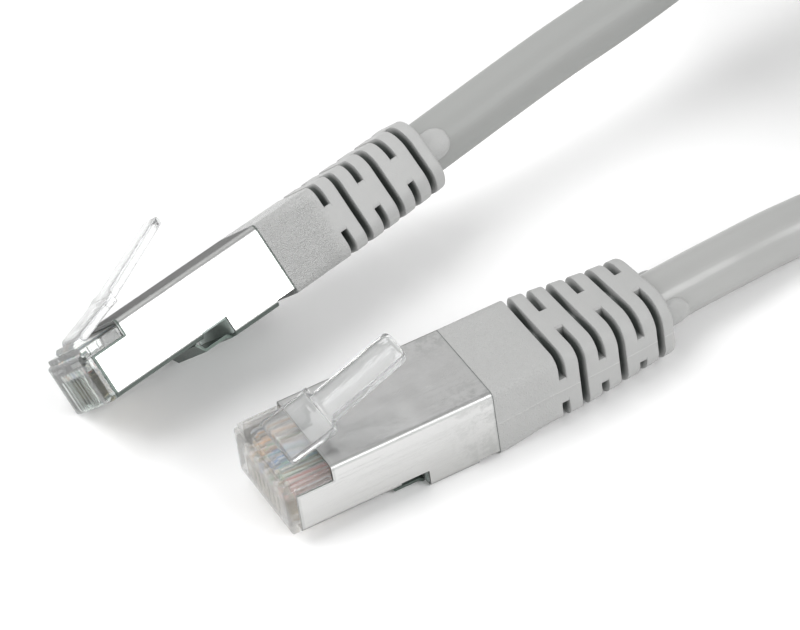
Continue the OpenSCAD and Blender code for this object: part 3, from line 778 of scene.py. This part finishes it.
def make_boot(plug):
    """Rings over the stations, each point sunk from the outside towards its floor, closed through the
    bore, lifted near the skin, then flexed round the cable's centre line."""
    s, sink, kind = boot_stations()
    quarter = boot_quarter(s, RIDGE[plug.end])
    outer = round_whole(quarter)
    bore = bored(outer, np.where(sink < TO_ROOM, CABLE_R + BOOT_GAP, CRIMP_ROOM_R)[:, None, None])
    floors = np.stack([bore, round_whole(slotted(quarter, True)), round_whole(slotted(quarter, False))])
    floor = floors[kind.astype(int), np.arange(len(s))]
    depth = np.linalg.norm(floor - outer, axis=-1, keepdims=True)
    share = np.minimum(sink[:, None, None] / np.maximum(depth, 1e-6), 1)
    flat = outer + (floor - outer) * share
    sunk = depth * share
    along = np.concatenate([sunk, flat[..., 1:]], -1)
    raised = plug.lift * ease(((s - SHIELD_END) / LIFT_LENGTH).clip(0, 1)) * (1 - LIFT_LOST * rearward(s))
    flat = flat + [0, 1] * raised[:, None, None] * (1 - sunk / LIFT_DEPTH).clip(0, 1)
    upright = np.concatenate([0 * flat[..., :1], flat], -1)
    bent = spin(upright, plug.flex_axis, plug.flex_turn(s)[:, None])
    points = plug.row(plug.flex_at(s)[:, None] + bent)
    rings, corners = points.shape[:2]
    quads = loft_faces(rings, corners)[0]
    k = np.arange(corners)
    end, nxt = (rings - 1) * corners, (k + 1) % corners
    quads = np.vstack([quads, np.stack([end + k, k, nxt, end + nxt], -1)])
    boot = make_piece(f"moulded_boot_{plug.end}", points.reshape(-1, 3), [quads],
                      boot_rubber(plug, GLITTER_AND_PAINTED_LIGHT[plug.end]), along.reshape(-1, 2), sharp=38)
    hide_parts(f"boot_{plug.end}")


# ---------- tongues on the jacket ----------

TONGUE_REACH = 3.2
TONGUE_HALF = 1.6
TONGUE_T = 0.4
TONGUE_ROOT = (-0.6, 0, 0.25)
TONGUE_STEPS = np.radians(np.arange(0, 90, 9))
TONGUE_LINES = 15
TONGUE_SLOPE = 0.8
TONGUE_BLUNT = 0.002
# How far the tongues' rims stand off the jacket, and how far their undersides sink into it
TONGUE_OFF = 0.04
TONGUE_SUNK = 0.02


def make_tongues(plug, finish):
    """Two flaps with round ends, each a skin over the jacket: its height rises from the rim as a quarter
    circle does, and its cross lines run from one long edge to the other and back below."""
    x = np.concatenate([TONGUE_ROOT, TONGUE_REACH - TONGUE_HALF * (1 - np.sin(TONGUE_STEPS))])
    past = (x - TONGUE_REACH + TONGUE_HALF).clip(0) / TONGUE_HALF
    half = TONGUE_HALF * np.sqrt(np.clip(1 - past**2, TONGUE_BLUNT, 1))
    k = np.sin(np.linspace(-np.pi / 2, np.pi / 2, TONGUE_LINES))
    edge = np.minimum(half[:, None] * (1 - np.abs(k)), TONGUE_T)
    edge = np.minimum(edge, (TONGUE_REACH - x)[:, None] * TONGUE_SLOPE)
    rise = np.sqrt(1 - (1 - edge / TONGUE_T)**2) * TONGUE_T
    across = half[:, None] * k
    outside = np.sqrt((CABLE_R + TONGUE_OFF + rise)**2 - across**2)
    inside = np.sqrt((CABLE_R - TONGUE_SUNK)**2 - across**2)
    faces, shells = [], []
    for side in (-1, 1):
        top, low = (np.stack([x[:, None] + 0 * across, side * y, across], -1) for y in (outside, inside))
        ring = np.concatenate([top, low[:, -2:0:-1]], 1)
        ring = ring if side < 0 else ring[:, ::-1]
        faces += loft_faces(*ring.shape[:2], first=sum(map(len, shells)))
        shells.append(ring.reshape(-1, 3))
    local = np.vstack(shells)
    upright = local * [0, 1, 1]
    way = plug.flex_way(np.array(BOOT_END))
    bent = spin(upright, plug.flex_axis, np.full(len(local), plug.flex)) + local[:, :1] * way
    points = plug.row(plug.flex_at(np.array(BOOT_END)) + bent)
    # Mapped as plain skin: no depth, and off the boot's parting line
    plain = 0 * local[:, 1:] + (0, 1)
    tongues = make_piece(f"boot_tongues_{plug.end}", points, faces, finish, plain, sharp=50)


# ---------- the latches ----------

LATCH_W = 6.6
SHOULDER = 4.8
SHOULDER_R = 0.2
LEVER_HALF = 2.15
TIP_HALF = 2.05
LATCH_L = 13.7
TIP_R = 0.8
TIP_T = 1.0
KNUCKLE_R = 0.5
LEVER_RISE = np.tan(np.radians(22.5))
CORNER_R = 0.22
CORNER_LINES = 5
CORNER_MOST = 0.95  # of the half thickness
# Inner corner between the shoulders and the lever: how far it spreads sideways and along the lever
FILLET_W = 0.25
FILLET_L = 0.3
# Distances from the hinge line, and the heights of the top and the underside there
TOP_X = (-0.25, 3.4, 3.8, 4.6, 5.1)
TOP_Z = (0.45, 1.52, 1.68, 2.1, 2.32)
LOW_X = (0.32, 3.4, 3.8, SHOULDER, SHOULDER + 0.02)
LOW_Z = (-0.38, 0.6, 0.7, 0.95, 1.1)
SHOULDER_Z = 2.2
# Stations over the knuckle, its saddle, the root, the steeper part, the shoulders, the lever and the tip
KNUCKLE_STEPS = np.radians((1, 15, 30, 45, 60, 75))
SADDLE_X = (0, 0.2, 0.32)
ROOT_X = np.linspace(0.6, 3.4, 9)
STEEP_X = (3.6, 3.8, 4, 4.2, 4.4)
SHOULDER_STEPS = np.array((1, 0.6, 0.3, 0.1, 0))
FILLET_STEPS = np.array((0.25, 0.5, 0.75, 1))
LEVER_X = np.linspace(5.4, 12.7, 22)
TIP_STEPS = np.radians((0, 15, 30, 45, 57, 66, 73, 79, 84, 88, 89.6))


def latch_heights(x):
    """Top and bottom of the lever at distance x from the hinge line: the knuckle's circle, then straight
    runs to the shoulders and the raised lever, and a round tip."""
    circle = np.sqrt(np.clip(KNUCKLE_R**2 - x**2, 0, None))
    end, tip_r = LATCH_L - TIP_T / 2, TIP_T / 2
    tip_z = SHOULDER_Z + (end - SHOULDER) * LEVER_RISE
    top = np.interp(x, (*TOP_X, end), (*TOP_Z, tip_z))
    low = np.interp(x, (*LOW_X, end), (*LOW_Z, tip_z - TIP_T))
    top = np.where(x < 0, np.where(x < TOP_X[0], circle, np.maximum(circle, top)), top)
    low = np.where(x < LOW_X[0], -circle, low)
    past = np.clip((x - end) / tip_r, 0, 1)
    bulge = tip_r * np.sqrt(1 - past**2)
    return np.where(past > 0, tip_z - tip_r + bulge, top), np.where(past > 0, tip_z - tip_r - bulge, low)


def latch_half(x):
    """Half width: the root to the shoulders' rear faces with rounded corners, then the tapered lever,
    which starts with a parabola's fillet and has a round end."""
    back = LATCH_L - TIP_R
    lever = np.interp(x, [SHOULDER - 1, back], [LEVER_HALF, TIP_HALF])
    lever = lever - TIP_R + np.sqrt(np.clip(TIP_R**2 - (x - back).clip(0)**2, 0, None))
    lever = lever + FILLET_W * (1 - ((x - SHOULDER) / FILLET_L).clip(0, 1))**2
    past = ((x - SHOULDER + SHOULDER_R) / SHOULDER_R).clip(0, 1)
    root = LATCH_W / 2 - SHOULDER_R * (1 - np.sqrt(1 - past**2))
    return np.where(x <= SHOULDER, root, lever)


def make_latch(plug):
    """Rounded rectangles square to the plug's length, carried from the knuckle to the tip."""
    knuckle = -KNUCKLE_R * np.cos(KNUCKLE_STEPS)
    shoulder = np.append(SHOULDER - SHOULDER_R * SHOULDER_STEPS, SHOULDER + 0.001)
    fillet = SHOULDER + FILLET_L * FILLET_STEPS
    tip = LATCH_L - TIP_R + TIP_R * np.sin(TIP_STEPS)
    x = np.concatenate([knuckle, SADDLE_X, ROOT_X, STEEP_X, shoulder, fillet, LEVER_X, tip])
    top, low = latch_heights(x)
    half, thick = latch_half(x), (top - low) / 2
    r = np.minimum(CORNER_R, thick * CORNER_MOST)[:, None]
    flat_y = np.repeat([1, -1, -1, 1], CORNER_LINES)[None] * (half[:, None] - r)
    flat_z = np.repeat([1, 1, -1, -1], CORNER_LINES)[None] * (thick[:, None] - r)
    quarters = [np.linspace(90 * k, 90 * k + 90, CORNER_LINES) for k in range(4)]
    a = np.radians(np.concatenate(quarters))[None]
    y, z = flat_y + r * np.cos(a), flat_z + r * np.sin(a)
    rings = np.stack([x[:, None] + 0 * y, y, z + ((top + low) / 2)[:, None]], -1)[:, ::-1] + HINGE
    finish = clear_plastic(plug, "latch_plastic", LATCH_MURK, LATCH_OPACITY, LATCH_TONE[plug.end])
    latch = make_piece(f"clear_latch_{plug.end}", plug.row(rings.reshape(-1, 3)),
                       loft_faces(*rings.shape[:2]), finish, sharp=42, body=f"latch_{plug.end}")
    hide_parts(f"latch_{plug.end}")


# ---------- the wires ----------

WIRE_CORNERS = 16
STRAIGHT_X = np.linspace(1.35, 12.6, 8)
# The fan behind the guide, whose wires have fallen to their rows at two thirds of its length
FAN_START = 13
FAN_L = 4.2
FAN_STEPS = 19
FALL = 1.5
# The two rows at the jacket's cut end: the wires' spacing, and the rows' distance from the middle
FAN_PITCH = 0.5
ROW_Z = 0.6


def wire_line(n):
    """Straight over the contacts and the guide, then drawn together by smooth steps to the jacket's cut
    end, where even wires lie in an upper row and odd ones in a lower."""
    y0 = ((PINS + 1) / 2 - n) * PITCH
    y1, z1 = y0 / PITCH * FAN_PITCH, MID_Z + (ROW_Z if n % 2 == 0 else -ROW_Z)
    t = np.linspace(0, 1, FAN_STEPS)
    fall = ease((FALL * t).clip(0, 1))
    fan = np.stack([FAN_START + FAN_L * t, y0 + (y1 - y0) * ease(t), WIRE_Z + (z1 - WIRE_Z) * fall], -1)
    straight = np.stack([STRAIGHT_X, 0 * STRAIGHT_X + y0, 0 * STRAIGHT_X + WIRE_Z], -1)
    return np.vstack([straight, fan, [JACKET_X, y1, z1]])


def make_wires(plug, finishes):
    """The eight wires of one plug, in the usual order of colours."""
    for n, kind in enumerate(WIRE_ORDER, 1):
        name, line = f"insulated_wire_{n}_{plug.end}", plug.row(wire_line(n))
        wire = make_tube(name, line, WIRE_D / 2, WIRE_CORNERS, finishes[kind])
        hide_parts(f"wire_{n}_{plug.end}")


# ---------- the pieces that keep their frame shape ----------


def dress(node, finish):
    """Gives a piece of the frame its finish."""
    mesh = frame["nodes"][node].data
    mesh.materials.clear()
    mesh.materials.append(finish)


insulation = {kind: wire_insulation(kind) for kind in WIRE_ORDER}
for plug in plugs:
    make_boot(plug)
    make_tongues(plug, bpy.data.materials[f"boot_rubber_{plug.end}"])
    make_latch(plug)
    make_wires(plug, insulation)
    dress(f"plug_body_{plug.end}", clear_plastic(plug, "body_plastic", *BODY_LOOK[plug.end]))
    dress(f"shield_{plug.end}", satin_nickel(plug, RIM_SHADE[plug.end]))
    dress(f"wire_guide_{plug.end}", guide_plastic(plug))
    dress(f"screen_foil_{plug.end}", crinkled_foil(plug))
    dress(f"drain_wire_{plug.end}", tinned_copper(plug))
    gold = gold_plate(plug)
    for n in range(1, PINS + 1):
        dress(f"contact_{n}_{plug.end}", gold)

# ---------- floor and light ----------

FLOOR_REACH = 3.0
# Light of the walls and of the ceiling, and the heights of direction between which one becomes the other
WALLS, CEILING = 0.84, 0.2
WALLS_TO, CEILING_FROM = 0.68, 0.86


def make_floor():
    """A square of white floor at height 0, which is not attached to the lead's body."""
    mesh = bpy.data.meshes.new("floor")
    corners = [(x * FLOOR_REACH, y * FLOOR_REACH, 0) for x, y in ((-1, -1), (1, -1), (1, 1), (-1, 1))]
    mesh.from_pydata(corners, [], [(0, 1, 2, 3)])
    f = Finish("floor_white", Roughness=0.9, Specular_IOR_Level=0.1)
    tone = f.noise(f.place(), size=400, detail=1)
    f.surface(Base_Color=f.mix(tone, (0.965, 0.965, 0.965), (0.975, 0.975, 0.975)))
    mesh.materials.append(f.material)
    floor = bpy.data.objects.new("floor", mesh)
    bpy.context.collection.objects.link(floor)


def make_softbox(name, towards, distance, size, power):
    """A rectangle of light in a direction from the object, facing it."""
    data = bpy.data.lights.new(name, "AREA")
    data.shape, data.size, data.size_y, data.energy = "RECTANGLE", *size, power
    lamp = bpy.data.objects.new(name, data)
    back = unit(np.array(towards, float))
    side = unit(np.cross([0, 0, 1], back))
    place = np.eye(4)
    place[:3, :3] = np.stack([side, np.cross(back, side), back], -1)
    place[:3, 3] = back * distance
    lamp.matrix_world = Matrix(place.tolist())
    bpy.context.collection.objects.link(lamp)


def make_studio():
    """Pale walls that darken towards a dark ceiling, as a radiance over the direction's height."""
    world = bpy.data.worlds.new("studio")
    studio = Nodes(world)
    _, _, height = studio.parts(studio.node("ShaderNodeTexCoord", out="Generated"))
    background = studio.tree.nodes["Background"]
    studio.feed(background.inputs["Color"], (1, 1, 1))
    studio.feed(background.inputs["Strength"],
                WALLS - height.rise(WALLS_TO, CEILING_FROM) * (WALLS - CEILING))
    bpy.context.scene.world = world


make_floor()
make_studio()
make_softbox("side_softbox", towards=(0.43, -0.68, 0.59), distance=1.2, size=(0.6, 0.4), power=6)
make_softbox("main_softbox", towards=(-0.38, 0.3, 0.9), distance=1.3, size=(1.1, 1.1), power=12)
bpy.context.scene.view_settings.view_transform = "Standard"
